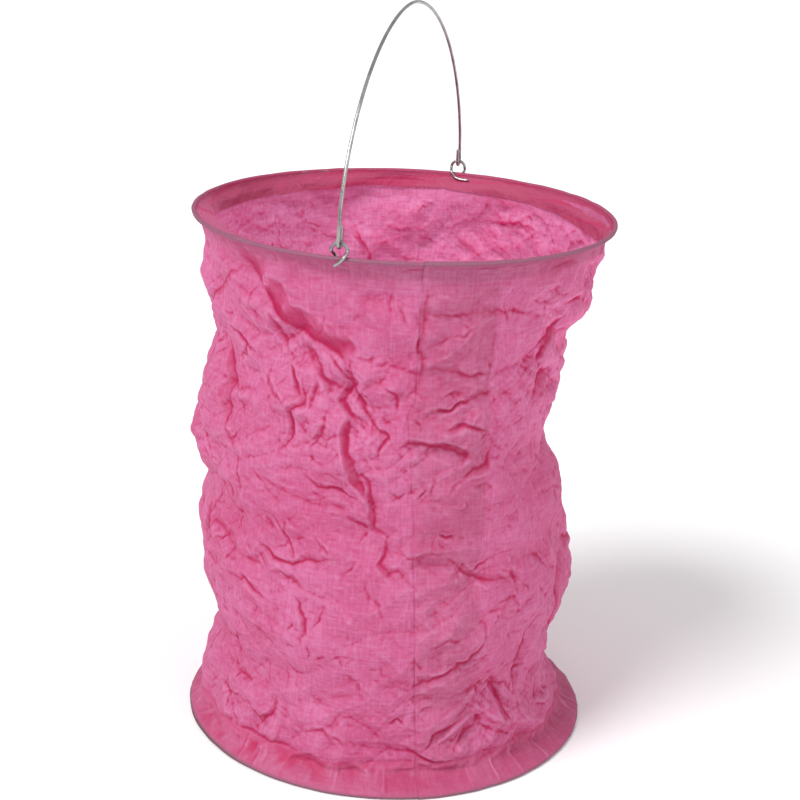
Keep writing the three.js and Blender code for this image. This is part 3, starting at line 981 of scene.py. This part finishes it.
for name, turn, step in (
    ("lower_cross_wire", CROSS_TURN, 0),
    ("upper_cross_wire", CROSS_TURN + math.pi / 2, CROSS_STEP),
):
    across = (-math.sin(turn), math.cos(turn), 0)
    cross = tube(name + "_round", cross_path(turn, step), CROSS_WIRE, across, sides=14)
    dress(cross, ring_steel, "base", "ring_wire", name)

# -------------------------------------------- the candle cup

CUP_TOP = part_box("candle_cup")[1].z / MM
CUP_FLOOR = CUP_TOP - 14
CUP_RADIUS = 21
TIN = 0.3  # its thickness
ROLL = 0.75  # radius of the rolled rim
FOOT_CORNER = 1.5  # radius of the outside corner round the floor
PRESSED_RING = 12.8  # radius of the ring pressed up in the floor
FLUTES = 32
FLUTE_DEPTH = 0.22
CUP_STEPS = 192
TAB_AT = 12  # the middle of each tab, out along its cross wire
TAB_WIDTH = 5
HALF_TAB = 0.12  # half a tab's thickness


def cup_outline():
    """The cup's section as a closed line of (radius, height): over the floor with its pressed ring, up the
    inside, round the rolled rim, down the outside and back under the floor, with arcs at the corners."""

    def arc(r, z, radius, start, stop, steps=7):
        angle = np.radians(np.linspace(start, stop, steps))
        return np.stack([r + radius * np.cos(angle), z + radius * np.sin(angle)], -1)

    floor_r = np.array([0.02, 5, 11, 12, 12.8, 13.6, 14.6, 18])
    pressed = 0.5 * np.exp(-(((floor_r - PRESSED_RING) / 0.8) ** 2))
    inside_floor = np.stack([floor_r, CUP_FLOOR + TIN + pressed], -1)
    under_floor = np.stack([floor_r, CUP_FLOOR + pressed], -1)[::-1]
    inner = FOOT_CORNER - TIN
    return np.concatenate([
        inside_floor,
        arc(CUP_RADIUS - FOOT_CORNER, CUP_FLOOR + FOOT_CORNER, inner, -90, 0),
        arc(CUP_RADIUS, CUP_TOP - ROLL, ROLL, 180, -90, 14),
        arc(CUP_RADIUS - FOOT_CORNER, CUP_FLOOR + FOOT_CORNER, FOOT_CORNER, 0, -90),
        under_floor,
    ])


def candle_cup():
    """The cup's outline turned round the axis. Its wall is fluted: in and out by the cosine of FLUTES
    times the angle, fading out at the floor and under the rolled rim."""
    outline = cup_outline()
    angle = np.arange(CUP_STEPS) * 2 * math.pi / CUP_STEPS
    r, z = outline[:, 0, None], outline[:, 1, None]
    above_floor = smoothstep(CUP_FLOOR + FOOT_CORNER, CUP_FLOOR + 2 * FOOT_CORNER, z)
    on_wall = above_floor * smoothstep(1.6, 3, CUP_TOP - z) * (r > CUP_RADIUS - 2)
    r = r + FLUTE_DEPTH * np.cos(FLUTES * angle) * on_wall
    points = np.stack([r * np.cos(angle), r * np.sin(angle), z + 0 * angle], -1)
    cup = closed_solid("tin_candle_cup", points)
    cup.data.shade_smooth()
    return cup


def cup_tab(name, turn, wire_height):
    """A tab of tin: a strip whose middle line runs down beside the cross wire, then round a quarter
    circle and under it. Its section is that line moved half the thickness to each side, and its ends are
    drawn in."""
    beside = CROSS_WIRE + 0.35
    bend = np.radians(np.linspace(0, -90, 9))
    middle = wire_height + 0.05
    line = np.concatenate([
        [(beside, CUP_FLOOR + 0.1)],
        np.stack([beside * np.cos(bend), middle + beside * np.sin(bend)], -1),
        [(-0.9, middle - beside)],
    ])
    along = np.gradient(line, axis=0)
    normal = np.stack([-along[:, 1], along[:, 0]], -1) / np.linalg.norm(along, axis=1, keepdims=True)
    section = np.concatenate([line + HALF_TAB * normal, (line - HALF_TAB * normal)[::-1]])
    out = TAB_AT + TAB_WIDTH / 2 * np.array([-1, -0.92, 0.92, 1])
    inset = np.array([0.8, 1, 1, 0.8])[:, None]
    centre = np.concatenate([line, line[::-1]])
    side = centre[None, :, 0] + (section[None, :, 0] - centre[None, :, 0]) * inset
    height = centre[None, :, 1] + (section[None, :, 1] - centre[None, :, 1]) * inset
    x = out[:, None] * math.cos(turn) - side * math.sin(turn)
    y = out[:, None] * math.sin(turn) + side * math.cos(turn)
    return closed_solid(name, np.stack([x, y, height], -1))


dress(candle_cup(), tin, "base", "tin", "candle_cup")
for k in range(4):
    tab = cup_tab(f"cup_tab_{k + 1}", CROSS_TURN + k * math.pi / 2, FOOT_RING)
    dress(tab, tin, "base", "tin")

# -------------------------------------------- floor, light and camera

FLOOR_REACH = 12.0  # metres from the lantern to the floor's edges
VIEW_BEARING = 15.7  # the camera's bearing round the lantern
VIEW_DISTANCE = 652  # mm from the lantern's axis
VIEW_HEIGHT = 353.5
VIEW_TILT = -18.8  # degrees up from level
VIEW_ROLL = 2.5
VIEW_PAN = -0.0019  # radians, and to the right as it is below 0
LENS = 78.4


def floor():
    """A flat square, wide enough to reach past the view."""
    signs = np.array([(-1, -1, 0), (1, -1, 0), (1, 1, 0), (-1, 1, 0)])
    ground = make_mesh("floor", signs * FLOOR_REACH, [[0, 1, 2, 3]])
    ground.data.materials.append(floor_material())


def soft_sun(name, bearing, elevation, strength, spread):
    """An even light from a wide disc of sky, spread degrees across."""
    lamp = bpy.data.lights.new(name, "SUN")
    lamp.energy = strength
    lamp.angle = math.radians(spread)
    holder = bpy.data.objects.new(name, lamp)
    a, e = math.radians(bearing), math.radians(elevation)
    towards = Vector((math.sin(a) * math.cos(e), -math.cos(a) * math.cos(e), math.sin(e)))
    holder.location = towards
    holder.rotation_euler = towards.to_track_quat("Z", "Y").to_euler()
    bpy.context.scene.collection.objects.link(holder)


def surroundings():
    """White light from all round, a key light from the left and a weaker one from the right."""
    world = bpy.data.worlds.new("studio")
    world.use_nodes = True
    background = world.node_tree.nodes["Background"]
    background.inputs["Color"].default_value = (1, 1, 1, 1)
    background.inputs["Strength"].default_value = 0.6
    bpy.context.scene.world = world
    soft_sun("key", VIEW_BEARING - 50, 48, 2.7, 26)
    soft_sun("fill", VIEW_BEARING + 55, 30, 0.8, 60)


def camera():
    """A long lens from above the rim, turned towards the axis, then tilted down and rolled."""
    data = bpy.data.cameras.new("camera")
    data.lens = LENS
    data.sensor_width = 36
    data.clip_end = 20
    holder = bpy.data.objects.new("camera", data)
    a = math.radians(VIEW_BEARING)
    holder.location = Vector((math.sin(a) * VIEW_DISTANCE, -math.cos(a) * VIEW_DISTANCE, VIEW_HEIGHT)) * MM
    turn = Matrix.Rotation(a + VIEW_PAN, 4, "Z")
    tilt = Matrix.Rotation(math.radians(90 + VIEW_TILT), 4, "X")
    roll = Matrix.Rotation(math.radians(VIEW_ROLL), 4, "Z")
    holder.rotation_euler = (turn @ tilt @ roll).to_euler()
    bpy.context.scene.collection.objects.link(holder)
    bpy.context.scene.camera = holder


floor()
surroundings()
camera()
bpy.context.scene.view_settings.view_transform = "Standard"
